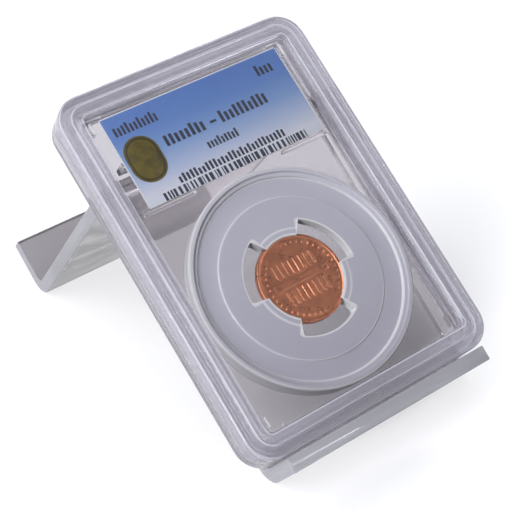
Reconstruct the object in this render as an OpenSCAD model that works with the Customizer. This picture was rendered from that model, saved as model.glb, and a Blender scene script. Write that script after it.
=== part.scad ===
// Graded coin slab standing in a bent acrylic display stand.
// Slab frame: X across, Y up the slab, Z out of its front; z = 0 is the front shoulder.
// Stand frame: Y up the back plate, Z out of it; the origin is the inner corner of the shelf.

/* [Slab] */
// Width of the slab
slab_w = 60; // [58:0.5:64]
// Height of the slab
slab_h = 82.5; // [80:0.5:88]
// Thickness of the slab without its stacking rim
slab_t = 7.6; // [7.4:0.1:9]
// Outer corner radius of the slab
slab_r = 6; // [5.5:0.5:7]
// Height of the stacking rim above the shoulder
rim_h = 0.7; // [0.4:0.1:1]
// Distance from the slab's edge to the outside of the rim
rim_inset = 2.4; // [2.2:0.1:2.8]
// Distance from the slab's edge to the window
window_inset = 4.9; // [4.6:0.1:5.2]
// Depth of the front window below the shoulder
window_depth = 0.6; // [0.4:0.1:0.8]
// Thickness of the window plates
window_t = 1.1; // [0.9:0.1:1.3]

/* [Coin holder] */
// Outer radius of the coin holder
insert_r = 24; // [23:0.5:24.5]
// Height of the holder's centre below the middle of the slab
insert_drop = 11.7; // [11:0.1:12]
// Radius of the step in the holder's web
step_r = 17.7; // [16:0.1:19]
// Radius of the open windows around the coin
opening_r = 12.5; // [12:0.1:13.5]
// Width of each grip as an angle
grip_angle = 54; // [40:2:70]

/* [Coin] */
// Diameter of the coin
coin_d = 19.05; // [18.8:0.05:19.3]
// Thickness of the coin at its rim
coin_t = 1.52; // [1.4:0.02:1.6]

/* [Label] */
// Width of the label card
label_w = 44; // [40:0.5:46]
// Height of the label card
label_h = 21; // [19:0.5:21.5]
// Height of the card's centre above the middle of the slab
label_y = 24.5; // [24.3:0.1:25]
// How far the loose card lies right of the middle
label_x = 0.5; // [0:0.1:0.7]

/* [Stand] */
// Width of the acrylic strip
strip_w = 50; // [40:1:58]
// Thickness of the acrylic strip
strip_t = 3.2; // [2.5:0.1:4]
// Inner radius of each bend
bend_r = 1.6; // [1:0.1:2]
// Length of the back plate, which is also the length of the leg
plate_len = 65.6; // [60:0.2:72]
// Depth of the shelf, which is also the height of the foot
shelf_depth = 11.4; // [10.5:0.1:13]
// Angle that the slab leans past the back plate
lean = 2.6; // [2.4:0.1:3]

/* [Hidden] */
$fn = 96;
eps = 0.05;

// Shell levels along the slab's Z
part_z = -slab_t / 2;
front_in_z = -window_depth - window_t;
rear_in_z = -slab_t + rim_h + window_t;
holder_gap = 0.05;

// Plan sizes, as distances from the slab's edge
groove_out = 0.8;
groove_in = 1.8;
groove_depth = 0.5;
groove_bridge = 1;
channel_out = 1.5;
channel_in = 3.7;
channel_roof_z = -1.5;
channel_floor_z = -slab_t + 1.5;
tongue_out = 2.2;
tongue_in = 3;
tongue_top_z = channel_roof_z - 0.4;
nest_inset = rim_inset - 0.3;

// Posts, ledge and fillets inside the shells
post_x = slab_w / 2 - 6.1;
post_y = slab_h / 2 - 5.3;
post_leg = 3.4;
post_t = 0.8;
post_h = 1.5;
ledge_t = 0.7;
ledge_y = label_y - label_h / 2 - 0.3;
ledge_end = 22.8;
ledge_start = 11;
pad_w = 6;
pad_h = 1.2;

// Coin holder
holder_top_z = front_in_z - holder_gap;
holder_bottom_z = rear_in_z + holder_gap;
holder_mid_z = (holder_top_z + holder_bottom_z) / 2;
holder_half = holder_top_z - holder_mid_z;
holder_rim_in = insert_r - 1.1;
holder_bevel_in = insert_r - 2;
web_t = 1;
step_t = 0.25;
coin_r = coin_d / 2;
grip_clear = 0.06;
grip_cover = 0.6;
grip_lip_t = 0.5;
grip_count = 3;

// Coin relief
coin_rim_w = 0.65;
coin_sink = 0.2;
relief_h = 0.14;
bar_count = 8;
bar_w = 0.45;
bar_gap = 1.3;
bar_len = 3;
band_w = 13;
band_h = 1.4;
row_y = 3;

// Label
card_t = 0.3;
card_top_z = front_in_z - 0.1;
badge_t = 0.08;
badge_w = 7.8;
badge_h = 10.4;
badge_x = label_x - label_w / 2 + 4.7;
badge_y = label_y - 0.7;
seal_t = 0.1;
seal_r = 5.5;

// Stand and placing
bend_out = bend_r + strip_t;
stand_tilt = 45;
seat_gap = 0.05;
seat_y = seat_gap;
seat_reach = sin(lean) * (plate_len - bend_out - seat_y);
seat_z = (bend_out + seat_gap - rim_h + seat_reach) / cos(lean) - bend_out;
foot_rise = plate_len + shelf_depth;
front_y = -(strip_t + shelf_depth) * cos(stand_tilt);
back_y = (foot_rise + plate_len + strip_t) * cos(stand_tilt);
lift_z = bend_out - 2 * bend_r * cos(stand_tilt);

// Colours
clear_plastic = [0.78, 0.78, 0.86, 0.35];
frosted_plastic = [0.72, 0.72, 0.82, 0.55];
clear_acrylic = [0.75, 0.8, 0.84, 0.4];
copper = [0.62, 0.27, 0.16];
label_blue = [0.2, 0.42, 0.76];
badge_gold = [0.52, 0.44, 0.16];
seal_silver = [0.7, 0.72, 0.76];

// ---- placing ----

module in_stand() {
    translate([0, -(front_y + back_y) / 2, lift_z])
        rotate([stand_tilt, 0, 0])
            children();
}

module in_slab() {
    in_stand()
        translate([0, seat_y, seat_z])
            rotate([-lean, 0, 0])
                translate([0, slab_h / 2, slab_t])
                    children();
}

// ---- shared shapes ----

// Rectangle with round corners, centred
module round_rect(w, h, r) {
    square([w - 2 * r, h], center = true);
    square([w, h - 2 * r], center = true);
    for (sx = [-1, 1], sy = [-1, 1])
        translate([sx * (w / 2 - r), sy * (h / 2 - r)])
            circle(r);
}

// Slab-shaped plate, set in from the slab's edge, between two levels
module slab_plate(inset, z_low, z_high, r) {
    translate([0, 0, z_low])
        linear_extrude(z_high - z_low)
            round_rect(slab_w - 2 * inset, slab_h - 2 * inset, r);
}

module slab_ring(outer, inner, z_low, z_high) {
    difference() {
        slab_plate(outer, z_low, z_high, slab_r - outer);
        slab_plate(inner, z_low - 1, z_high + 1, max(slab_r - inner, 2));
    }
}

module ring(r_out, r_in, z_low, z_high) {
    difference() {
        translate([0, 0, z_low])
            cylinder(r = r_out, h = z_high - z_low);
        translate([0, 0, z_low - 1])
            cylinder(r = r_in, h = z_high - z_low + 2);
    }
}

// Plate between two levels with its near corner and size in plan
module pad(x, y, w, h, z_low, z_high) {
    translate([x, y, z_low])
        cube([w, h, z_high - z_low]);
}

// ---- shells ----

// L-shaped post that keeps the card and holder square in each corner
module corner_post() {
    z_low = front_in_z - post_h;
    pad(post_x - post_t, post_y - post_leg, post_t, post_leg, z_low, front_in_z);
    pad(post_x - post_leg, post_y - post_t, post_leg, post_t, z_low, front_in_z);
}

module corner_posts() {
    for (sx = [0, 1], sy = [0, 1])
        mirror([sx, 0, 0])
            mirror([0, sy, 0])
                corner_post();
}

// Ledge under the card, cut short where the round holder comes up
module card_ledge() {
    for (side = [0, 1])
        mirror([side, 0, 0])
            pad(ledge_start, ledge_y - ledge_t, ledge_end - ledge_start, ledge_t,
                front_in_z - post_h, front_in_z);
}

// Groove round the front shoulder, bridged at the middle of the top and bottom
module edge_groove() {
    difference() {
        slab_ring(groove_out, groove_in, -groove_depth, rim_h);
        cube([groove_bridge, 2 * slab_h, 4 * rim_h], center = true);
    }
}

module front_shell() {
    color(clear_plastic) in_slab() {
        difference() {
            union() {
                slab_plate(0, part_z, 0, slab_r);
                slab_plate(rim_inset, -eps, rim_h, slab_r - rim_inset);
            }
            slab_plate(window_inset, -window_depth, 2 * rim_h, 2);
            slab_plate(window_inset, part_z - 1, front_in_z, 2);
            slab_ring(channel_out, channel_in, part_z - 1, channel_roof_z);
            edge_groove();
        }
        corner_posts();
        card_ledge();
    }
}

module rear_shell() {
    color(clear_plastic) in_slab() {
        difference() {
            slab_plate(0, -slab_t, part_z, slab_r);
            slab_plate(nest_inset, -slab_t - 1, -slab_t + rim_h, slab_r - nest_inset);
            slab_plate(window_inset, rear_in_z, part_z + 1, 2);
            slab_ring(channel_out, channel_in, channel_floor_z, part_z + 1);
        }
        slab_ring(tongue_out, tongue_in, channel_floor_z - eps, tongue_top_z);
        card_pads();
    }
}

// Bars on the rear window that carry the back of the card
module card_pads() {
    pad_top_z = card_top_z - card_t;
    for (side = [0, 1])
        mirror([side, 0, 0])
            pad(label_w / 2 - pad_w, label_y - pad_h / 2, pad_w, pad_h,
                rear_in_z - eps, pad_top_z);
}

// ---- coin holder ----

// Sector of the opening that a grip fills
module grip_sector(angle) {
    reach = 2 * opening_r;
    half = grip_angle / 2;
    rotate([0, 0, angle])
        linear_extrude(4 * holder_half, center = true)
            polygon([[0, 0], [reach, -reach * tan(half)], [reach, reach * tan(half)]]);
}

// One half of the holder, with its middle plane at z = 0 and its outside at +Z
module holder_half_disc() {
    lip_z = coin_t / 2 + grip_clear;
    ring(insert_r, holder_rim_in, 0, holder_half);
    ring(holder_rim_in + eps, holder_bevel_in, 0, holder_half - 0.5);
    ring(holder_bevel_in + eps, opening_r, 0, web_t);
    ring(step_r, opening_r, 0, web_t + step_t);
    intersection() {
        union() {
            ring(opening_r + eps, coin_r + grip_clear, 0, web_t + step_t);
            ring(coin_r + 1, coin_r - grip_cover, lip_z, lip_z + grip_lip_t);
        }
        union() {
            for (i = [0 : grip_count - 1])
                grip_sector(90 + i * 360 / grip_count);
        }
    }
}

module front_insert() {
    color(frosted_plastic) in_slab()
        translate([0, -insert_drop, holder_mid_z])
            holder_half_disc();
}

module rear_insert() {
    color(frosted_plastic) in_slab()
        translate([0, -insert_drop, holder_mid_z])
            mirror([0, 0, 1])
                holder_half_disc();
}

// ---- coin ----

// Two rows of upright bars with a plain band between them
module coin_relief() {
    row_w = (bar_count - 1) * bar_gap;
    for (i = [0 : bar_count - 1], side = [-1, 1])
        translate([i * bar_gap - row_w / 2 - bar_w / 2, side * row_y - bar_len / 2])
            square([bar_w, bar_len]);
    translate([-band_w / 2, -band_h / 2])
        square([band_w, band_h]);
}

module coin() {
    field = coin_t / 2 - coin_sink;
    color(copper) in_slab()
        translate([0, -insert_drop, holder_mid_z]) {
            difference() {
                cylinder(r = coin_r, h = coin_t, center = true);
                for (side = [0, 1])
                    mirror([0, 0, side])
                        translate([0, 0, field])
                            cylinder(r = coin_r - coin_rim_w, h = coin_t);
            }
            translate([0, 0, field - eps])
                linear_extrude(relief_h + eps)
                    coin_relief();
        }
}

// ---- label ----

module label_card() {
    color(label_blue) in_slab()
        translate([label_x, label_y, card_top_z - card_t])
            linear_extrude(card_t)
                round_rect(label_w, label_h, 0.4);
}

module label_badge() {
    color(badge_gold) in_slab()
        translate([badge_x, badge_y, card_top_z])
            linear_extrude(badge_t)
                round_rect(badge_w, badge_h, badge_w / 2 - eps);
}

module rear_seal() {
    color(seal_silver) in_slab()
        translate([label_x, label_y, card_top_z - card_t - seal_t])
            cylinder(r = seal_r, h = seal_t);
}

// ---- stand ----

// Quarter ring of the strip's thickness about a bend's centre
module bend(y, z, side_y, side_z) {
    translate([y, z])
        intersection() {
            difference() {
                circle(bend_out);
                circle(bend_r);
            }
            translate([side_y < 0 ? -bend_out : 0, side_z < 0 ? -bend_out : 0])
                square(bend_out);
        }
}

// Side view of the strip, from the front of the shelf to the top of the foot
module strip_profile() {
    straight = plate_len - bend_r - bend_out;
    translate([-strip_t, bend_r])
        square([strip_t, shelf_depth - bend_r]);
    bend(bend_r, bend_r, -1, -1);
    translate([bend_r, -strip_t])
        square([straight, strip_t]);
    bend(plate_len - bend_out, -bend_out, 1, 1);
    translate([plate_len - strip_t, bend_r - plate_len])
        square([strip_t, straight]);
    bend(plate_len + bend_r, bend_r - plate_len, -1, -1);
    translate([plate_len + bend_r, -plate_len - strip_t])
        square([shelf_depth - bend_r, strip_t]);
}

module display_stand() {
    color(clear_acrylic) in_stand()
        rotate([90, 0, 90])
            linear_extrude(strip_w, center = true)
                strip_profile();
}

front_shell();
rear_shell();
front_insert();
rear_insert();
coin();
label_card();
label_badge();
rear_seal();
display_stand();
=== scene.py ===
"""Looks of the graded coin slab on its bent acrylic stand.

Lengths in the geometry helpers are millimetres in the slab frame (X across, Y up the
slab, Z out of its front) or in the stand frame; build() turns them into metres in the
row frame before a mesh is made.
"""
import math
import random

import bmesh
import bpy
from mathutils import Matrix, Vector


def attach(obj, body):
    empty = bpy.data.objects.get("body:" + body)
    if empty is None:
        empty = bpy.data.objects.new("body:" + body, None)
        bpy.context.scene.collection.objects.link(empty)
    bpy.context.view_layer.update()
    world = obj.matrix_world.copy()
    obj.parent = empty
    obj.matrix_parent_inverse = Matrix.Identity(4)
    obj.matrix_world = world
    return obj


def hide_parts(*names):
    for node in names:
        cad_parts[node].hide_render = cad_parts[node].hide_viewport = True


MM = 0.001

# ---------------------------------------------------------------- sizes, mm
SLAB_W = 60.0
SLAB_H = 82.5
SLAB_T = 7.6
SLAB_R = 6.0
PART_Z = -3.8
GAP = 0.012
RIM_H = 0.7
RIM_INSET = 2.4
WINDOW_INSET = 4.9
WINDOW_SKIN = 6.2
FRONT_OUT_Z = -0.6
FRONT_IN_Z = -1.7
REAR_IN_Z = -5.8
REAR_OUT_Z = -6.9
RECESS_INSET = 2.1

# edge groove, weld channel of the front shell and weld tongue of the rear shell
GROOVE = (0.8, 1.8)
GROOVE_Z = -0.5
CHANNEL = (1.5, 3.7)
CHANNEL_Z = -1.5
TONGUE = (2.2, 3.0)
TONGUE_Z = -1.9
TONGUE_ROOT_Z = -6.1

# a small rib bridges the edge groove at the middle of the top and bottom sides
BRIDGE_HALF = 0.5
BRIDGE_FOOT = 0.62
BRIDGE_Z = -0.02

POST_X = SLAB_W / 2 - 6.1
POST_Y = SLAB_H / 2 - 5.3
POST_ARM = 3.4
POST_WALL = 0.8
RIB_DEPTH = 1.5
RIB_OVERLAP = 0.25

# ledge of the front shell under the card, and the rear shell's pads behind it
LEDGE_X = (11.0, 22.8)
LEDGE_T = 0.7
LEDGE_GAP = 0.3
PAD_X = (16.0, 22.0)
PAD_HALF = 0.6

DROP = 11.7
HOLDER_Z = -3.75
GRIPS = (90.0, 210.0, 330.0)
GRIP_HALF = 27.0
OPEN_R = 12.5
WEB_T = 1.0
WEB_STEP = 0.25
WEB_STEP_R = 17.7
RING_IN = 22.0
RING_LEDGE = 22.9
RING_OUT = 24.0
COIN_R = 9.525
COIN_T = 1.52
RELIEF = 0.14
COIN_RIM = 0.2

CARD = (44.0, 21.0, 0.3)
CARD_X = 0.5
CARD_Y = 24.5
CARD_TOP = -1.8
BADGE_W = 7.8
BADGE_H = 10.4
BADGE_T = 0.07
BADGE_IN = 4.7
BADGE_DROP = 0.7
SEAL_W = 11.0
SEAL_T = 0.1

STRIP_W = 50.0
STRIP_T = 3.2
STRIP_EDGE = 0.25
BEND_R = 1.6
PLATE = 65.6
SHELF = 11.4
TILT = 45.0
LEAN = 2.6
SEAT = 0.05

bend_out = BEND_R + STRIP_T
slope = math.sin(math.radians(TILT))
front_y = -(STRIP_T + SHELF) * slope
back_y = (2 * PLATE + SHELF + STRIP_T) * slope
lift_z = bend_out - 2 * BEND_R * slope
lean = math.radians(LEAN)
reach = math.sin(lean) * (PLATE - bend_out - SEAT)
seat_z = (bend_out + SEAT - RIM_H + reach) / math.cos(lean) - bend_out

STAND = (
    Matrix.Translation((0, -(front_y + back_y) / 2, lift_z))
    @ Matrix.Rotation(math.radians(TILT), 4, "X")
)
SLAB = (
    STAND
    @ Matrix.Translation((0, SEAT, seat_z))
    @ Matrix.Rotation(-lean, 4, "X")
    @ Matrix.Translation((0, SLAB_H / 2, SLAB_T))
)
HOLDER = SLAB @ Matrix.Translation((0, -DROP, HOLDER_Z))
HOLDER_REAR = HOLDER @ Matrix.Scale(-1, 4, (0, 0, 1))
CARD_PLACE = SLAB @ Matrix.Translation((CARD_X, CARD_Y, CARD_TOP))
badge_x = CARD_X - CARD[0] / 2 + BADGE_IN
BADGE_PLACE = SLAB @ Matrix.Translation((badge_x, CARD_Y - BADGE_DROP, CARD_TOP))
SEAL_PLACE = SLAB @ Matrix.Translation((CARD_X, CARD_Y, CARD_TOP - CARD[2] - SEAL_T))
# ---------------------------------------------------------------- mesh helpers
def build(name, verts, faces, place, smooth=True, sharp=40.0):
    """Mesh object from points in mm in a local frame, with its vertices in the row frame."""
    mesh = bpy.data.meshes.new(name)
    points = [(place @ Vector(v)) * MM for v in verts]
    mesh.from_pydata([tuple(p) for p in points], [], faces)
    mesh.validate()
    bm = bmesh.new()
    bm.from_mesh(mesh)
    bmesh.ops.recalc_face_normals(bm, faces=bm.faces)
    bm.to_mesh(mesh)
    bm.free()
    obj = bpy.data.objects.new(name, mesh)
    bpy.context.scene.collection.objects.link(obj)
    if smooth:
        mesh.shade_smooth()
        mesh.set_sharp_from_angle(angle=math.radians(sharp))
    return obj


def fillet(points, radii, steps=4, closed=False):
    """Polyline with its corners rounded; radii has one radius per point, 0 for none."""
    out = []
    n = len(points)
    for i, (p, r) in enumerate(zip(points, radii)):
        if r <= 0 or (not closed and i in (0, n - 1)):
            out.append(tuple(p))
            continue
        a = Vector(points[(i - 1) % n]) - Vector(p)
        b = Vector(points[(i + 1) % n]) - Vector(p)
        half = a.angle(b) / 2
        cut = r / math.tan(half)
        start = Vector(p) + a.normalized() * cut
        end = Vector(p) + b.normalized() * cut
        centre = Vector(p) + (a.normalized() + b.normalized()).normalized() * (r / math.sin(half))
        u = start - centre
        v = end - centre
        turn = u.angle(v)
        for j in range(steps + 1):
            t = j / steps
            w = (math.sin((1 - t) * turn) * u + math.sin(t * turn) * v) / math.sin(turn)
            out.append(tuple(centre + w))
    return out


BRIDGE_X = (-16.0, -6.0, -BRIDGE_FOOT, -BRIDGE_HALF, BRIDGE_HALF, BRIDGE_FOOT, 6.0, 16.0)
SIDE_Y = (-26.0, -13.0, 0.0, 13.0, 26.0)
CORNER_STEPS = 14


def corner_arcs(cx, cy, r, steps):
    """Rounded corners of a rectangle as lists of (x, y), anticlockwise from the top right."""
    arcs = []
    for i, (sx, sy) in enumerate(((1, 1), (-1, 1), (-1, -1), (1, -1))):
        angles = [math.radians(90.0 * i + 90.0 * j / steps) for j in range(steps + 1)]
        arcs.append([(sx * cx + r * math.cos(a), sy * cy + r * math.sin(a)) for a in angles])
    return arcs


def slab_loop(inset, z):
    """Closed loop of a rounded rectangle set in from the slab's edge."""
    w = SLAB_W / 2 - inset
    h = SLAB_H / 2 - inset
    r = max(SLAB_R - inset, 2.0)
    arcs = corner_arcs(w - r, h - r, r, CORNER_STEPS)
    flat = arcs[0] + [(x, h) for x in reversed(BRIDGE_X)]
    flat += arcs[1] + [(-w, y) for y in reversed(SIDE_Y)]
    flat += arcs[2] + [(x, -h) for x in BRIDGE_X]
    flat += arcs[3] + [(w, y) for y in SIDE_Y]
    return [(x, y, z) for x, y in flat]


def skin(loops, capped=True):
    """Quads between neighbouring loops, with flat caps at both ends or closed on itself."""
    n = len(loops[0])
    verts = [v for loop in loops for v in loop]
    faces = []
    rows = len(loops) if not capped else len(loops) - 1
    for i in range(rows):
        a = i * n
        b = ((i + 1) % len(loops)) * n
        for j in range(n):
            m = (j + 1) % n
            faces.append((a + j, a + m, b + m, b + j))
    if capped:
        faces.append(tuple(range(n)))
        last = (len(loops) - 1) * n
        faces.append(tuple(range(last + n - 1, last - 1, -1)))
    return verts, faces


def block(name, lo, hi, place, soften=0.12):
    """Box with rounded edges, used for small moulded ribs."""
    bm = bmesh.new()
    bmesh.ops.create_cube(bm, size=1.0)
    for v in bm.verts:
        for axis in range(3):
            v.co[axis] = lo[axis] if v.co[axis] < 0 else hi[axis]
    bmesh.ops.bevel(bm, geom=bm.edges[:], offset=soften, segments=3, affect="EDGES", profile=0.5)
    verts = [tuple(v.co) for v in bm.verts]
    faces = [tuple(v.index for v in f.verts) for f in bm.faces]
    bm.free()
    return build(name, verts, faces, place)


def weld(target, parts):
    """Joins moulded ribs to a shell by exact union."""
    for part in parts:
        mod = target.modifiers.new("rib", "BOOLEAN")
        mod.operation = "UNION"
        mod.solver = "EXACT"
        mod.object = part
    dg = bpy.context.evaluated_depsgraph_get()
    mesh = bpy.data.meshes.new_from_object(target.evaluated_get(dg))
    target.modifiers.clear()
    target.data = mesh
    for part in parts:
        bpy.data.objects.remove(part)
    mesh.shade_smooth()
    mesh.set_sharp_from_angle(angle=math.radians(40))
    return target


# ---------------------------------------------------------------- nodes
def material(name):
    mat = bpy.data.materials.new(name)
    mat.use_nodes = True
    tree = mat.node_tree
    bsdf = tree.nodes["Principled BSDF"]
    return mat, tree, bsdf


def node(tree, kind, **values):
    made = tree.nodes.new(kind)
    for key, value in values.items():
        if key in made.inputs:
            made.inputs[key].default_value = value
        else:
            setattr(made, key, value)
    return made


def local_coords(tree, place):
    """Texture coordinates in mm in a local frame, for pieces whose vertices are in metres."""
    coord = node(tree, "ShaderNodeTexCoord")
    inverse = place.inverted()
    mapping = node(tree, "ShaderNodeMapping", vector_type="POINT")
    mapping.inputs["Scale"].default_value = (1000.0, 1000.0, 1000.0)
    mapping.inputs["Rotation"].default_value = inverse.to_euler()
    mapping.inputs["Location"].default_value = inverse.to_translation()
    tree.links.new(coord.outputs["Object"], mapping.inputs["Vector"])
    return mapping.outputs["Vector"]


def noise(tree, vector, scale, detail=3.0, rough=0.55):
    made = node(tree, "ShaderNodeTexNoise", Scale=scale, Detail=detail, Roughness=rough)
    tree.links.new(vector, made.inputs["Vector"])
    return made.outputs["Fac"]


def remap(tree, value, low, high, from_low=0.3, from_high=0.7):
    made = node(tree, "ShaderNodeMapRange")
    made.inputs["From Min"].default_value = from_low
    made.inputs["From Max"].default_value = from_high
    made.inputs["To Min"].default_value = low
    made.inputs["To Max"].default_value = high
    tree.links.new(value, made.inputs["Value"])
    return made.outputs["Result"]


def maths(tree, operation, *values):
    """Math node on sockets or plain numbers."""
    made = node(tree, "ShaderNodeMath", operation=operation)
    for socket, value in zip(made.inputs, values):
        if isinstance(value, float):
            socket.default_value = value
        else:
            tree.links.new(value, socket)
    return made.outputs["Value"]


def vector_maths(tree, operation, *values):
    """Vector math node on sockets or plain triples, with a number out where there is one."""
    made = node(tree, "ShaderNodeVectorMath", operation=operation)
    for socket, value in zip(made.inputs, values):
        if isinstance(value, tuple):
            socket.default_value = value
        else:
            tree.links.new(value, socket)
    gives_number = operation in ("LENGTH", "DISTANCE", "DOT_PRODUCT")
    return made.outputs["Value" if gives_number else "Vector"]


def axes(tree, at):
    """The three components of a vector."""
    split = node(tree, "ShaderNodeSeparateXYZ")
    tree.links.new(at, split.inputs["Vector"])
    return split.outputs["X"], split.outputs["Y"], split.outputs["Z"]


def mix(tree, fac, a, b):
    """Colour blend, a where fac is 0 and b where it is 1."""
    made = node(tree, "ShaderNodeMix", data_type="RGBA")
    for socket, colour in ((made.inputs[6], a), (made.inputs[7], b)):
        if isinstance(colour, tuple):
            socket.default_value = colour
        else:
            tree.links.new(colour, socket)
    tree.links.new(fac, made.inputs[0])
    return made.outputs[2]


def bump(tree, height, strength, distance):
    made = node(tree, "ShaderNodeBump", Strength=strength, Distance=distance)
    tree.links.new(height, made.inputs["Height"])
    return made.outputs["Normal"]


def multiply(tree, a, b):
    return maths(tree, "MULTIPLY", a, b)


def between(tree, value, low, high, soft):
    """1 where value lies between low and high, fading to 0 over soft on each side."""
    rise = remap(tree, value, 0.0, 1.0, low - soft, low)
    fall = remap(tree, value, 1.0, 0.0, high, high + soft)
    return multiply(tree, rise, fall)


def window_mask(tree, at):
    """1 over the thin windows of the shells, 0 over their thick frame."""
    x, y, _ = axes(tree, at)
    half_w = SLAB_W / 2 - WINDOW_INSET
    half_h = SLAB_H / 2 - WINDOW_INSET
    across = between(tree, x, -half_w, half_w, 0.3)
    return multiply(tree, across, between(tree, y, -half_h, half_h, 0.3))


def from_axis(tree, at):
    """The vector square to the local Z axis."""
    return vector_maths(tree, "MULTIPLY", at, (1.0, 1.0, 0.0))


def radius_of(tree, at):
    """Distance from the local Z axis."""
    return vector_maths(tree, "LENGTH", from_axis(tree, at))


def slab_inset(tree, at):
    """Distance in from the slab's rounded outline."""
    straight = (SLAB_W / 2 - SLAB_R, SLAB_H / 2 - SLAB_R, 0.0)
    past = vector_maths(tree, "SUBTRACT", vector_maths(tree, "ABSOLUTE", at), straight)
    corner = vector_maths(tree, "MAXIMUM", past, (0.0, 0.0, 0.0))
    x, y, _ = axes(tree, past)
    inside = maths(tree, "MINIMUM", maths(tree, "MAXIMUM", x, y), 0.0)
    total = maths(tree, "ADD", radius_of(tree, corner), inside)
    return maths(tree, "SUBTRACT", SLAB_R, total)


def ring_mask(tree, at):
    """1 over the holder's polished outer ring, 0 over its web."""
    return remap(tree, radius_of(tree, at), 0.0, 1.0, RING_IN, RING_IN + 0.4)


def plate_mask(tree, at):
    """1 over the stand's back plate and leg, fading to 0 at the shelf and towards the foot."""
    _, y, z = axes(tree, at)
    above_shelf = remap(tree, y, 0.0, 1.0, 1.0, 3.0)
    above_foot = remap(tree, z, 0.0, 1.0, 8.0 - PLATE, 14.0 - PLATE)
    return multiply(tree, above_shelf, above_foot)


def source_of(bsdf, name):
    """The socket that feeds an input of the shader."""
    return bsdf.inputs[name].links[0].from_socket


def clear_plastic(
    name, place, tint, rough, haze, ior, wave, mask, thin, thin_haze=0.0, thin_rough=None
):
    """Moulded clear plastic: refraction, faint clouding in tint and gloss, a slight flow ripple.

    Where mask is 1 the tint is thin and the haze is thin_haze, which sets the clear windows
    off from the thick frame, and the polished ring off from the frosted web.
    """
    mat, tree, bsdf = material(name)
    at = local_coords(tree, place)
    cloud = remap(tree, noise(tree, at, 0.09, 2.0), 0.0, 1.0)
    deeper = tuple(c * 0.955 for c in tint[:3]) + (1.0,)
    share = mask(tree, at)
    colour = mix(tree, share, mix(tree, cloud, tint, deeper), thin)
    tree.links.new(colour, bsdf.inputs["Base Color"])
    sheer = remap(tree, share, 1.0 - haze, 1.0 - thin_haze, 0.0, 1.0)
    tree.links.new(sheer, bsdf.inputs["Transmission Weight"])
    fine = remap(tree, noise(tree, at, 0.35, 2.0), rough * 0.8, rough * 1.25)
    if thin_rough is not None:
        blend = node(tree, "ShaderNodeMix", data_type="FLOAT")
        tree.links.new(share, blend.inputs[0])
        tree.links.new(fine, blend.inputs[2])
        blend.inputs[3].default_value = thin_rough
        fine = blend.outputs[0]
    tree.links.new(fine, bsdf.inputs["Roughness"])
    bsdf.inputs["IOR"].default_value = ior
    ripple = noise(tree, at, 0.05, 0.0)
    tree.links.new(bump(tree, ripple, wave, 0.001), bsdf.inputs["Normal"])
    return mat, tree, bsdf


# ---------------------------------------------------------------- frame, camera, light
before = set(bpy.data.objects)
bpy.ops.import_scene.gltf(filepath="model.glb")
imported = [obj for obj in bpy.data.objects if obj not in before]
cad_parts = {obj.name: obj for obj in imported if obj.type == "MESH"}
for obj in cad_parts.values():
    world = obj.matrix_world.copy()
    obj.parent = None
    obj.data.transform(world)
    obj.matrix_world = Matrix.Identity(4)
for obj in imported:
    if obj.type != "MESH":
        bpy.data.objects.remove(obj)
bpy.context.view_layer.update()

scene = bpy.context.scene
scene.view_settings.view_transform = "Standard"
scene.cycles.max_bounces = 32
scene.cycles.transmission_bounces = 32
scene.cycles.glossy_bounces = 16
scene.cycles.sample_clamp_indirect = 3.0
scene.cycles.caustics_reflective = False
scene.cycles.caustics_refractive = False

camera_data = bpy.data.cameras.new("camera")
camera_data.lens = 102.287
camera_data.sensor_width = 36.0
camera_data.clip_start = 0.01
camera_data.clip_end = 20.0
camera = bpy.data.objects.new("camera", camera_data)
camera.location = (-0.134819, -0.232649, 0.190331)
camera.rotation_euler = (0.9966953, 0.1192075, -0.6274007)
scene.collection.objects.link(camera)
scene.camera = camera

world = bpy.data.worlds.new("studio")
world.use_nodes = True
sky = world.node_tree
sky_coord = node(sky, "ShaderNodeTexCoord")
SKY_BASE = (0.95, 0.96, 1.0, 1.0)
SKY_DIM = (0.40, 0.41, 0.45, 1.0)
SKY_GLOW = (2.2, 2.2, 2.35, 1.0)


def sky_lobe(direction, start, end):
    """1 towards the direction, fading to 0; start and end are cosines."""
    facing = vector_maths(sky, "DOT_PRODUCT", sky_coord.outputs["Generated"], direction)
    return remap(sky, facing, 0.0, 1.0, start, end)


dim = sky_lobe((0.46, -0.455, 0.762), 0.55, 0.93)
glow = sky_lobe((-0.86, 0.22, 0.46), 0.72, 0.97)
sky_colour = mix(sky, glow, mix(sky, dim, SKY_BASE, SKY_DIM), SKY_GLOW)
sky.links.new(sky_colour, sky.nodes["Background"].inputs["Color"])
sky.nodes["Background"].inputs["Strength"].default_value = 0.62
scene.world = world

AIM = (0, 0, 0.03)


def softbox(name, position, size, power, seen=False):
    """Area light aimed at the slab; seen says whether gloss and glass show its face."""
    data = bpy.data.lights.new(name, "AREA")
    data.shape = "RECTANGLE"
    data.size = size[0]
    data.size_y = size[1]
    data.energy = power
    data.cycles.use_multiple_importance_sampling = seen
    lamp = bpy.data.objects.new(name, data)
    lamp.location = position
    away = Vector(position) - Vector(AIM)
    lamp.rotation_euler = away.to_track_quat("Z", "Y").to_euler()
    scene.collection.objects.link(lamp)


softbox("key", (-0.5, -0.1, 1.0), (0.8, 0.8), 6.2)
softbox("back", (0.45, 0.85, 0.6), (0.6, 0.12), 4.5, seen=True)
softbox("front_left", (-0.95, -0.4, 0.5), (0.4, 0.25), 5.5, seen=True)
softbox("fill_right", (0.9, -0.7, 0.5), (0.5, 0.5), 2.0)

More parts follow.
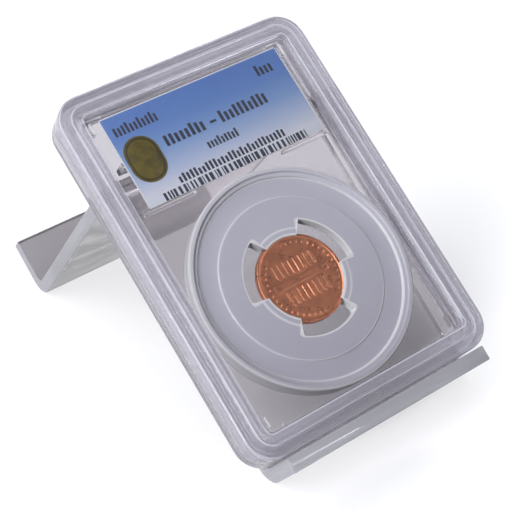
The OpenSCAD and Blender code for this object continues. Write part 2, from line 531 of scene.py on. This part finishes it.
FLOOR_HALF = 3.0
FLOOR_DROP = -0.0002
floor_signs = ((-1, -1), (1, -1), (1, 1), (-1, 1))
floor_corners = [(sx * FLOOR_HALF, sy * FLOOR_HALF, 0) for sx, sy in floor_signs]
floor_mesh = bpy.data.meshes.new("floor")
floor_mesh.from_pydata(floor_corners, [], [(0, 1, 2, 3)])
floor = bpy.data.objects.new("floor", floor_mesh)
floor.location = (0, 0, FLOOR_DROP)
scene.collection.objects.link(floor)
floor_mat, _, floor_bsdf = material("floor_paper")
floor_bsdf.inputs["Base Color"].default_value = (0.86, 0.86, 0.87, 1.0)
floor_bsdf.inputs["Roughness"].default_value = 0.8
floor_mesh.materials.append(floor_mat)

# ---------------------------------------------------------------- colours and clear materials
SHELL_IOR = 1.36
SHELL_ROUGH = 0.09
WINDOW_ROUGH = 0.02
SHELL_FRONT_TINT = (0.74, 0.73, 0.79, 1.0)
SHELL_FRONT_WINDOW = (0.97, 0.96, 0.98, 1.0)
SHELL_REAR_TINT = (0.48, 0.465, 0.52, 1.0)
SHELL_REAR_WINDOW = (0.61, 0.595, 0.615, 1.0)
RIM_PALE = (0.70, 0.70, 0.79, 1.0)
RIM_LINES = ((0.15, 0.4, 0.3), (2.45, 2.7, 0.32), (4.6, 4.85, 0.42))
WEB_TINT = (0.655, 0.655, 0.77, 1.0)
RING_TINT = (0.86, 0.86, 0.97, 1.0)
# colour of the painted shade at the foot of the frosted web
WEB_PAINTED_SHADE = (0.38, 0.355, 0.43, 1.0)
# colour of the painted highlight lines along the web's edges
WEB_PAINTED_HIGHLIGHT = (0.97, 0.97, 1.0, 1.0)
ACRYLIC_TINT = (0.34, 0.325, 0.345, 1.0)
ACRYLIC_PLATE = (0.92, 0.90, 0.92, 1.0)
ACRYLIC_CUT = (0.34, 0.34, 0.37, 1.0)
COPPER = (0.58, 0.235, 0.125, 1.0)
COPPER_DEEP = (0.46, 0.18, 0.10, 1.0)
CARD_SPECK = (0.42, 0.46, 0.78, 1.0)
CARD_BORDER = (0.88, 0.90, 0.95, 1.0)
INK = (0.012, 0.014, 0.03, 1.0)
INK_WORN = (0.04, 0.045, 0.07, 1.0)
GOLD = (0.16, 0.125, 0.015, 1.0)
GOLD_DARK = (0.06, 0.048, 0.008, 1.0)
GOLD_LINE = (0.03, 0.022, 0.008, 1.0)
SILVER_COOL = (0.62, 0.66, 0.74, 1.0)
SILVER_WARM = (0.78, 0.76, 0.70, 1.0)


def shell_plastic(name, tint, haze, window):
    mat, tree, bsdf = clear_plastic(
        name, SLAB, tint, SHELL_ROUGH, haze, SHELL_IOR, 0.002,
        window_mask, window, thin_rough=WINDOW_ROUGH,
    )
    bsdf.inputs["Specular IOR Level"].default_value = 1.0
    return mat, tree, bsdf


def front_shell_plastic():
    """Adds thin pale lines where the moulded corners of the front rim catch the light."""
    mat, tree, bsdf = shell_plastic("moulded_clear_front", SHELL_FRONT_TINT, 0.14, SHELL_FRONT_WINDOW)
    at = local_coords(tree, SLAB)
    in_front = remap(tree, axes(tree, at)[2], 0.0, 1.0, -0.9, -0.7)
    inset = slab_inset(tree, at)
    bulk = source_of(bsdf, "Base Color")
    clear = source_of(bsdf, "Transmission Weight")
    for low, high, strength in RIM_LINES:
        line = multiply(tree, in_front, between(tree, inset, low, high, 0.08))
        bulk = mix(tree, line, bulk, RIM_PALE)
        clear = multiply(tree, clear, remap(tree, line, 1.0, 1.0 - strength, 0.0, 1.0))
    tree.links.new(bulk, bsdf.inputs["Base Color"])
    tree.links.new(clear, bsdf.inputs["Transmission Weight"])
    return mat


def holder_plastic():
    """Frosted web, darkened by painted shade towards the foot of the slab, with painted highlight
    lines along its edges.
    """
    mat, tree, bsdf = clear_plastic(
        "frosted_insert", HOLDER, WEB_TINT, 0.22, 1.0, 1.4, 0.012,
        ring_mask, RING_TINT, thin_haze=0.85, thin_rough=0.12,
    )
    at = local_coords(tree, HOLDER)
    x, y, _ = axes(tree, at)
    # painted shade: the web's colour darkens towards the foot of the slab
    low_painted_shade = remap(tree, y, 0.55, 0.0, -26.0, 6.0)
    frost_and_painted_light = mix(tree, low_painted_shade, source_of(bsdf, "Base Color"), WEB_PAINTED_SHADE)
    distance = radius_of(tree, at)

    def ring_line(low, high):
        return between(tree, distance, low, high, 0.1)

    # one positive lobe of the sine lies over each gap, one negative lobe over each grip
    bearing = maths(tree, "ARCTAN2", y, x)
    lobe = maths(tree, "SINE", multiply(tree, bearing, float(len(GRIPS))))
    in_gap = remap(tree, lobe, 0.0, 1.0, -0.25, -0.1)
    on_grip = remap(tree, lobe, 1.0, 0.0, -0.25, -0.1)
    grip_side = multiply(tree, between(tree, lobe, -0.26, -0.1, 0.05), ring_line(8.5, OPEN_R))
    # painted highlights: pale lines where the openings, grips and ring steps would catch the light
    painted_edge_highlights = (
        (multiply(tree, ring_line(12.3, 12.8), in_gap), 0.95),
        (multiply(tree, ring_line(8.8, 9.4), on_grip), 0.9),
        (multiply(tree, ring_line(10.3, 10.7), on_grip), 0.6),
        (grip_side, 0.9),
        (ring_line(17.5, 17.75), 0.45),
        (ring_line(21.7, 22.1), 0.7),
        (ring_line(23.6, 24.1), 0.6),
    )
    for line, strength in painted_edge_highlights:
        frost_and_painted_light = mix(tree, remap(tree, line, 0.0, strength, 0.0, 1.0), frost_and_painted_light, WEB_PAINTED_HIGHLIGHT)
    tree.links.new(frost_and_painted_light, bsdf.inputs["Base Color"])
    return mat


def acrylic():
    """The strip's cut edges and ends are a little frosted, so they read as pale bars."""
    mat, tree, bsdf = clear_plastic(
        "polished_acrylic", STAND, ACRYLIC_TINT, 0.03, 0.22, 1.33, 0.002, plate_mask, ACRYLIC_PLATE
    )
    x, y, z = axes(tree, local_coords(tree, STAND))
    half = STRIP_W / 2 - STRIP_EDGE
    end = PLATE + SHELF
    off_edges = between(tree, x, -half, half, 0.1)
    off_shelf_end = remap(tree, z, 1.0, 0.0, SHELF - 0.3, SHELF - 0.2)
    off_foot_end = remap(tree, y, 1.0, 0.0, end - 0.3, end - 0.2)
    uncut = multiply(tree, multiply(tree, off_edges, off_shelf_end), off_foot_end)
    on_plate = between(tree, y, 3.0, PLATE - bend_out, 0.5)
    uncut = maths(tree, "MAXIMUM", uncut, on_plate)
    bulk = mix(tree, uncut, ACRYLIC_CUT, source_of(bsdf, "Base Color"))
    frosted = remap(tree, uncut, 0.45, 1.0, 0.0, 1.0)
    clear = multiply(tree, frosted, source_of(bsdf, "Transmission Weight"))
    tree.links.new(bulk, bsdf.inputs["Base Color"])
    tree.links.new(clear, bsdf.inputs["Transmission Weight"])
    return mat


def dress(obj, mat, body, slot_name, *nodes):
    obj.data.materials.clear()
    obj.data.materials.append(mat)
    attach(obj, body)
    if nodes:
        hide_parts(*nodes)
    return obj


def let_light_through(obj):
    """Clear pieces cast no shadow, so light reaches what lies inside and under them."""
    obj.visible_shadow = False


# ---------------------------------------------------------------- shells
def post_outline(sx, sy):
    """L-shaped post in the corner of the window that has the signs sx and sy."""
    corners = [
        (0, 0), (POST_ARM, 0), (POST_ARM, POST_WALL),
        (POST_WALL, POST_WALL), (POST_WALL, POST_ARM), (0, POST_ARM),
    ]
    outline = [(sx * (POST_X - u), sy * (POST_Y - v)) for u, v in corners]
    return fillet(outline, [0.3, 0.2, 0.2, 0.3, 0.2, 0.2], 3, closed=True)


def front_shell():
    points = [
        (WINDOW_SKIN, FRONT_OUT_Z),
        (WINDOW_INSET, FRONT_OUT_Z),
        (WINDOW_INSET, RIM_H),
        (RIM_INSET, RIM_H),
        (RIM_INSET, 0.0),
        (GROOVE[1], 0.0),
        (GROOVE[1], GROOVE_Z),
        (GROOVE[0], GROOVE_Z),
        (GROOVE[0], 0.0),
        (0.0, 0.0),
        (0.0, PART_Z + GAP),
        (CHANNEL[0], PART_Z + GAP),
        (CHANNEL[0], CHANNEL_Z),
        (CHANNEL[1], CHANNEL_Z),
        (CHANNEL[1], PART_Z + GAP),
        (WINDOW_INSET, PART_Z + GAP),
        (WINDOW_INSET, FRONT_IN_Z),
        (WINDOW_SKIN, FRONT_IN_Z),
    ]
    radii = [0, 0.2, 0.3, 0.35, 0.2, 0.12, 0.15, 0.15, 0.12, 0.55, 0.08, 0.05]
    radii += [0.2, 0.2, 0.05, 0.1, 0.25, 0]
    loops = []
    for inset, z in fillet(points, radii):
        loop = slab_loop(inset, z)
        if GROOVE[0] - 0.1 < inset < GROOVE[1] + 0.15 and GROOVE_Z - 0.05 < z < -0.001:
            raised = max(z, BRIDGE_Z)
            loop = [(x, y, raised if abs(x) <= BRIDGE_HALF else z) for x, y, _ in loop]
        loops.append(loop)
    shell = build("front_shell_body", *skin(loops), SLAB)
    low = FRONT_IN_Z - RIB_DEPTH
    top = FRONT_IN_Z + RIB_OVERLAP
    ribs = []
    for sx in (-1, 1):
        for sy in (-1, 1):
            rib_loops = [[(x, y, z) for x, y in post_outline(sx, sy)] for z in (low, top)]
            ribs.append(build("rib", *skin(rib_loops), SLAB))
    ledge_y = CARD_Y - CARD[1] / 2 - LEDGE_GAP
    for sx in (-1, 1):
        left, right = sorted(sx * x for x in LEDGE_X)
        ribs.append(block("rib", (left, ledge_y - LEDGE_T, low), (right, ledge_y, top), SLAB))
    return weld(shell, ribs)


def rear_shell():
    points = [
        (WINDOW_SKIN, REAR_IN_Z),
        (WINDOW_INSET, REAR_IN_Z),
        (WINDOW_INSET, PART_Z - GAP),
        (CHANNEL[1], PART_Z - GAP),
        (CHANNEL[1], TONGUE_ROOT_Z),
        (TONGUE[1], TONGUE_ROOT_Z),
        (TONGUE[1], TONGUE_Z),
        (TONGUE[0], TONGUE_Z),
        (TONGUE[0], TONGUE_ROOT_Z),
        (CHANNEL[0], TONGUE_ROOT_Z),
        (CHANNEL[0], PART_Z - GAP),
        (0.0, PART_Z - GAP),
        (0.0, -SLAB_T),
        (RECESS_INSET, -SLAB_T),
        (RECESS_INSET, REAR_OUT_Z),
        (WINDOW_SKIN, REAR_OUT_Z),
    ]
    radii = [0, 0.25, 0.1, 0.05, 0.15, 0.1, 0.2, 0.2, 0.1, 0.15, 0.05, 0.08, 0.55, 0.2, 0.2, 0]
    loops = [slab_loop(inset, z) for inset, z in fillet(points, radii)]
    shell = build("rear_shell_body", *skin(loops), SLAB)
    low = REAR_IN_Z - RIB_OVERLAP
    card_back = CARD_TOP - CARD[2]
    pads = []
    for sx in (-1, 1):
        left, right = sorted(sx * x for x in PAD_X)
        near = (left, CARD_Y - PAD_HALF, low)
        pads.append(block("rib", near, (right, CARD_Y + PAD_HALF, card_back), SLAB))
    return weld(shell, pads)


front_mat = front_shell_plastic()
rear_mat, _, _ = shell_plastic("moulded_clear_rear", SHELL_REAR_TINT, 0.12, SHELL_REAR_WINDOW)
let_light_through(dress(front_shell(), front_mat, "slab", "clear_plastic", "front_shell"))
let_light_through(dress(rear_shell(), rear_mat, "slab", "clear_plastic", "rear_shell"))


# ---------------------------------------------------------------- coin holder
def grip_angles():
    """Angles round the holder, close together where a grip begins and ends."""
    offsets = [0.2, 0.6, 1.1, 1.7, 2.4, 3.2, 4.2]
    edges = [g + side * GRIP_HALF for g in GRIPS for side in (-1, 1)]
    angles = [edge + side * o for edge in edges for side in (-1, 1) for o in offsets]
    step = 2.5
    for i in range(int(360 / step)):
        a = i * step
        if min(abs((a - edge + 180) % 360 - 180) for edge in edges) > 4.6:
            angles.append(a)
    return sorted(x % 360 for x in angles)


ANGLES = grip_angles()


def smooth_step(value):
    t = min(max(value, 0.0), 1.0)
    return t * t * (3 - 2 * t)


def grip_share(angle, soft=2.6):
    """1 on a grip, 0 at an open window, with a rounded change between them."""
    off = min(abs((angle - g + 180) % 360 - 180) for g in GRIPS)
    return smooth_step((GRIP_HALF - off) / soft * 0.5 + 0.5)


def holder_loop(r_open, r_grip, z_open, z_grip):
    loop = []
    for a in ANGLES:
        g = grip_share(a)
        r = r_open + (r_grip - r_open) * g
        z = z_open + (z_grip - z_open) * g
        loop.append((r * math.cos(math.radians(a)), r * math.sin(math.radians(a)), z))
    return loop


def holder_half():
    """Front half about the parting plane, from the grips out to the ring and back."""
    lip = COIN_T / 2 + 0.06
    inner = COIN_R + 0.06
    cover = COIN_R - 0.6
    top = WEB_T + WEB_STEP
    rows = [
        (OPEN_R, inner, GAP, GAP),
        (OPEN_R, inner, 0.6, lip - 0.05),
        (OPEN_R, inner - 0.03, 0.8, lip),
        (OPEN_R, cover + 0.1, 0.9, lip),
        (OPEN_R, cover, 0.95, lip + 0.08),
        (OPEN_R, cover, 1.1, lip + 0.36),
        (OPEN_R + 0.04, cover + 0.06, 1.2, lip + 0.46),
        (OPEN_R + 0.15, cover + 0.18, 1.25, lip + 0.5),
        (OPEN_R + 0.3, COIN_R + 0.85, 1.25, lip + 0.5),
        (OPEN_R + 0.4, COIN_R + 1.0, 1.25, lip + 0.47),
        (OPEN_R + 0.5, COIN_R + 1.1, top, top),
        (OPEN_R + 0.8, COIN_R + 1.5, top, top),
    ]
    outline = [
        (17.0, top),
        (WEB_STEP_R, top),
        (WEB_STEP_R, WEB_T),
        (RING_IN, WEB_T),
        (RING_IN, 1.5),
        (RING_LEDGE, 1.5),
        (RING_LEDGE, 2.0),
        (RING_OUT, 2.0),
        (RING_OUT, GAP),
        (16.0, GAP),
    ]
    radii = [0, 0.1, 0.1, 0.3, 0.25, 0.15, 0.15, 0.4, 0.05, 0]
    loops = [holder_loop(*row) for row in rows]
    loops += [holder_loop(r, r, z, z) for r, z in fillet(outline, radii, 3)]
    return skin(loops, capped=False)


holder_mat = holder_plastic()
verts, faces = holder_half()
holder_front = build("front_insert_body", verts, faces, HOLDER)
holder_rear = build("rear_insert_body", verts, faces, HOLDER_REAR)
dress(holder_front, holder_mat, "slab", "frosted_plastic", "front_insert")
dress(holder_rear, holder_mat, "slab", "frosted_plastic", "rear_insert")


# ---------------------------------------------------------------- coin
def bar_height(x, y, x0, x1, y0, y1, soft=0.14):
    inside = min(x - x0, x1 - x, y - y0, y1 - y)
    return smooth_step(inside / soft + 0.5)


def coin_height(x, y):
    """Relief above the field: two rows of bars, a plain band and a ring of dashes."""
    r = math.hypot(x, y)
    high = 0.0
    for i in range(8):
        cx = (i - 3.5) * 1.3
        for cy in (3.0, -3.0):
            high = max(high, bar_height(x, y, cx - 0.23, cx + 0.23, cy - 1.5, cy + 1.5))
    high = max(high, 0.8 * bar_height(x, y, -6.5, 6.5, -0.7, 0.7))
    if 7.3 < r < 8.5:
        a = math.degrees(math.atan2(y, x)) % 360
        off_dash = (a % 9.0) - 4.5
        if 20 < (a + 250) % 180 < 165:
            across = smooth_step((2.2 - abs(off_dash)) / 1.2 + 0.2)
            along = smooth_step((0.35 - abs(r - 7.9)) / 0.2 + 0.3)
            high = max(high, 0.6 * across * along)
    return RELIEF * high


def coin():
    """Struck disc: relief on the front, a raised rim on both sides and a plain back."""
    turns = 300
    field = COIN_T / 2 - COIN_RIM
    rim = [
        (8.72, 0.0),
        (8.82, 0.03),
        (8.9, 0.1),
        (8.98, 0.17),
        (9.1, COIN_RIM),
        (9.3, COIN_RIM),
        (9.42, 0.17),
        (9.5, 0.1),
        (COIN_R, 0.0),
    ]
    verts = [(0, 0, field)]
    faces = [(0, 1 + j, 1 + (j + 1) % turns) for j in range(turns)]
    rows = []

    def circle(r, z, struck=False):
        rows.append(len(verts))
        for j in range(turns):
            a = 2 * math.pi * j / turns
            x = r * math.cos(a)
            y = r * math.sin(a)
            verts.append((x, y, z + coin_height(x, y) if struck else z))

    for i in range(1, 55):
        circle(i * 0.16, field, struck=True)
    for r, z in rim:
        circle(r, field + z)
    for r, z in reversed(rim):
        circle(r, -field - z)
    circle(4.0, -field)
    for a, b in zip(rows, rows[1:]):
        for j in range(turns):
            m = (j + 1) % turns
            faces.append((a + j, a + m, b + m, b + j))
    faces.append(tuple(rows[-1] + j for j in reversed(range(turns))))
    return verts, faces


def struck_copper():
    mat, tree, bsdf = material("struck_copper")
    at = local_coords(tree, HOLDER)
    tone = remap(tree, noise(tree, at, 0.35, 4.0), 0.0, 1.0)
    colour = mix(tree, tone, COPPER, COPPER_DEEP)
    tree.links.new(colour, bsdf.inputs["Base Color"])
    bsdf.inputs["Metallic"].default_value = 1.0
    grain = noise(tree, at, 0.8, 3.0)
    tree.links.new(remap(tree, grain, 0.24, 0.4), bsdf.inputs["Roughness"])
    tree.links.new(bump(tree, grain, 0.05, 0.00003), bsdf.inputs["Normal"])
    return mat


verts, faces = coin()
coin_obj = build("coin_struck", verts, faces, HOLDER, sharp=60)
dress(coin_obj, struck_copper(), "slab", "copper", "coin")


# ---------------------------------------------------------------- label
def plate_loops(w, h, r, z_low, z_high, edge):
    """Loops of a flat rounded plate with softened edges, from its top to its bottom."""
    def loop(inset, z):
        arcs = corner_arcs(w / 2 - r, h / 2 - r, max(r - inset, 0.01), 8)
        return [(x, y, z) for arc in arcs for x, y in arc]

    return [
        loop(edge, z_high),
        loop(edge * 0.3, z_high - edge * 0.3),
        loop(0, z_high - edge),
        loop(0, z_low + edge),
        loop(edge * 0.3, z_low + edge * 0.3),
        loop(edge, z_low),
    ]


LABEL_RAMP = (
    (0.1, (0.86, 0.90, 1.0, 1.0)),
    (0.28, (0.52, 0.63, 0.88, 1.0)),
    (0.5, (0.22, 0.38, 0.71, 1.0)),
    (0.72, (0.10, 0.24, 0.60, 1.0)),
    (0.98, (0.06, 0.18, 0.53, 1.0)),
)


def printed_card():
    """Pale at the foot fading to blue at the head, mottled, with a white border."""
    mat, tree, bsdf = material("printed_card")
    at = local_coords(tree, CARD_PLACE)
    x, y, _ = axes(tree, at)
    ramp = node(tree, "ShaderNodeValToRGB")
    up_card = remap(tree, y, 0.0, 1.0, -CARD[1] / 2, CARD[1] / 2)
    tree.links.new(up_card, ramp.inputs["Fac"])
    stops = ramp.color_ramp.elements
    for end, (position, colour) in ((0, LABEL_RAMP[0]), (1, LABEL_RAMP[-1])):
        stops[end].position = position
        stops[end].color = colour
    for position, colour in LABEL_RAMP[1:-1]:
        stops.new(position).color = colour
    mottle = remap(tree, noise(tree, at, 2.2, 6.0, 0.8), 0.0, 0.24)
    colour = mix(tree, mottle, ramp.outputs["Color"], CARD_SPECK)
    across = between(tree, x, -21.75, 21.7, 0.12)
    printed = multiply(tree, across, between(tree, y, -10.3, 10.2, 0.12))
    colour = mix(tree, printed, CARD_BORDER, colour)
    tree.links.new(colour, bsdf.inputs["Base Color"])
    bsdf.inputs["Roughness"].default_value = 0.45
    fibre = noise(tree, at, 6.0, 4.0)
    tree.links.new(bump(tree, fibre, 0.2, 0.00002), bsdf.inputs["Normal"])
    return mat


verts, faces = skin(plate_loops(CARD[0], CARD[1], 0.4, -CARD[2], 0.0, 0.04))
card = build("label_card_print", verts, faces, CARD_PLACE)
dress(card, printed_card(), "slab", "label_card", "label_card")

# ink: rows of plain strokes that say nothing, and a row of bars
INK_Z = (0.001, 0.012)
rng = random.Random(7)
ink_verts = []
ink_faces = []


def ink(x0, y0, x1, y1):
    a = len(ink_verts)
    for z in INK_Z:
        ink_verts.extend([(x0, y0, z), (x1, y0, z), (x1, y1, z), (x0, y1, z)])
    ink_faces.extend(
        [
            (a + 3, a + 2, a + 1, a),
            (a + 4, a + 5, a + 6, a + 7),
            (a, a + 1, a + 5, a + 4),
            (a + 1, a + 2, a + 6, a + 5),
            (a + 2, a + 3, a + 7, a + 6),
            (a + 3, a, a + 4, a + 7),
        ]
    )


def word(x, y, height, count, pitch):
    """Row of plain upright strokes with clear gaps, and no letters in it."""
    for i in range(count):
        left = x + i * pitch
        ink(left, y, left + pitch * 0.6, y + height * rng.choice((0.74, 0.86, 1.0)))


def bar_row(left, right, low, high):
    """Row of bars and gaps of mixed widths."""
    x = left
    while x < right:
        wide = rng.choice((0.26, 0.4, 0.6, 0.8))
        ink(x, low, x + wide, high)
        x += wide + rng.choice((0.26, 0.3, 0.42, 0.6))


def printing_ink():
    mat, tree, bsdf = material("printing_ink")
    worn = remap(tree, noise(tree, local_coords(tree, CARD_PLACE), 4.0, 4.0), 0.0, 1.0)
    tree.links.new(mix(tree, worn, INK, INK_WORN), bsdf.inputs["Base Color"])
    bsdf.inputs["Roughness"].default_value = 0.5
    return mat


word(-20.4, 5.7, 2.4, 11, 0.95)
word(14.9, 5.8, 2.5, 4, 1.1)
word(-11.6, -0.2, 2.8, 8, 1.25)
ink(-0.6, 0.6, 0.9, 1.15)
word(2.0, -0.2, 2.7, 10, 1.22)
word(-3.7, -4.2, 2.0, 9, 0.86)
word(-13.2, -8.3, 1.9, 28, 0.95)
bar_row(-18.0, 17.4, -10.45, -8.7)
ink_obj = build("label_ink", ink_verts, ink_faces, CARD_PLACE, smooth=False)
dress(ink_obj, printing_ink(), "slab", "label_card")


# ---------------------------------------------------------------- badge and seal
def gold_foil():
    """Dull gold with a dark line inside the edge of the rounded badge."""
    mat, tree, bsdf = material("gold_foil")
    at = local_coords(tree, BADGE_PLACE)
    sheen = remap(tree, noise(tree, at, 0.5, 3.0), 0.0, 1.0)
    gold = mix(tree, sheen, GOLD, GOLD_DARK)
    stem = BADGE_H / 2 - BADGE_W / 2
    past = node(tree, "ShaderNodeClamp", Min=-stem, Max=stem)
    tree.links.new(axes(tree, at)[1], past.inputs["Value"])
    spine = node(tree, "ShaderNodeCombineXYZ")
    tree.links.new(past.outputs["Result"], spine.inputs["Y"])
    away = vector_maths(tree, "DISTANCE", from_axis(tree, at), spine.outputs["Vector"])
    border = between(tree, away, BADGE_W / 2 - 0.75, BADGE_W / 2 - 0.45, 0.08)
    colour = mix(tree, border, gold, GOLD_LINE)
    tree.links.new(colour, bsdf.inputs["Base Color"])
    bsdf.inputs["Metallic"].default_value = 0.3
    bsdf.inputs["Roughness"].default_value = 0.45
    tree.links.new(bump(tree, noise(tree, at, 3.0, 4.0), 0.2, 0.00003), bsdf.inputs["Normal"])
    return mat


def silver_foil():
    mat, tree, bsdf = material("silver_foil")
    rings = node(
        tree, "ShaderNodeTexWave", wave_type="RINGS", rings_direction="Z", Scale=0.6, Distortion=1.5
    )
    tree.links.new(local_coords(tree, SEAL_PLACE), rings.inputs["Vector"])
    colour = mix(tree, rings.outputs["Fac"], SILVER_COOL, SILVER_WARM)
    tree.links.new(colour, bsdf.inputs["Base Color"])
    bsdf.inputs["Metallic"].default_value = 0.9
    bsdf.inputs["Roughness"].default_value = 0.28
    return mat


verts, faces = skin(plate_loops(BADGE_W, BADGE_H, BADGE_W / 2 - 0.05, 0.0, BADGE_T, 0.03))
badge = build("badge_foil", verts, faces, BADGE_PLACE)
dress(badge, gold_foil(), "slab", "badge_foil", "label_badge")

verts, faces = skin(plate_loops(SEAL_W, SEAL_W, SEAL_W / 2 - 0.01, 0.0, SEAL_T, 0.03))
seal = build("seal_foil_disc", verts, faces, SEAL_PLACE)
dress(seal, silver_foil(), "slab", "seal_foil", "rear_seal")


# ---------------------------------------------------------------- stand
def along(point, distance):
    """The point moved along its own heading."""
    y, z, heading = point
    a = math.radians(heading)
    return (y + distance * math.cos(a), z + distance * math.sin(a), heading)


def strip_path():
    """Middle line of the strip in the stand frame, as (y, z, direction angle)."""
    half = STRIP_T / 2
    mid = BEND_R + half
    path = [(-half, SHELF, -90.0), (-half, BEND_R, -90.0)]

    def arc(cy, cz, start, sweep, steps=10):
        for i in range(1, steps + 1):
            a = start + sweep * i / steps
            y, z, _ = along((cy, cz, a), mid)
            path.append((y, z, a + math.copysign(90.0, sweep)))

    arc(BEND_R, BEND_R, 180.0, 90.0)
    path.append((PLATE - bend_out, -half, 0.0))
    arc(PLATE - bend_out, -bend_out, 90.0, -90.0)
    path.append((PLATE - half, BEND_R - PLATE, -90.0))
    arc(PLATE + BEND_R, BEND_R - PLATE, 180.0, 90.0)
    path.append((PLATE + SHELF, -PLATE - half, 0.0))
    return path


def strip_section(point, shrink=0.0):
    """Rounded rectangle across the strip at a point of its path."""
    y, z, heading = point
    w = STRIP_W / 2 - shrink
    t = STRIP_T / 2 - shrink
    r = max(STRIP_EDGE - shrink, 0.02)
    ny = -math.sin(math.radians(heading))
    nz = math.cos(math.radians(heading))
    arcs = corner_arcs(w - r, t - r, r, 4)
    return [(x, y + ny * n, z + nz * n) for arc in arcs for x, n in arc]


def stand():
    """The bent strip, with its two cut ends rounded off over three sections."""
    path = strip_path()
    soft = STRIP_EDGE
    loops = [
        strip_section(path[0], soft * 0.95),
        strip_section(along(path[0], soft * 0.3), soft * 0.35),
        strip_section(along(path[0], soft)),
        strip_section(along(path[0], soft + 0.3)),
    ]
    loops += [strip_section(point) for point in path[1:-1]]
    loops += [
        strip_section(along(path[-1], -soft - 0.3)),
        strip_section(along(path[-1], -soft)),
        strip_section(along(path[-1], -soft * 0.3), soft * 0.35),
        strip_section(path[-1], soft * 0.95),
    ]
    return skin(loops)


verts, faces = stand()
stand_obj = build("stand_strip", verts, faces, STAND)
let_light_through(dress(stand_obj, acrylic(), "stand", "clear_acrylic", "display_stand"))
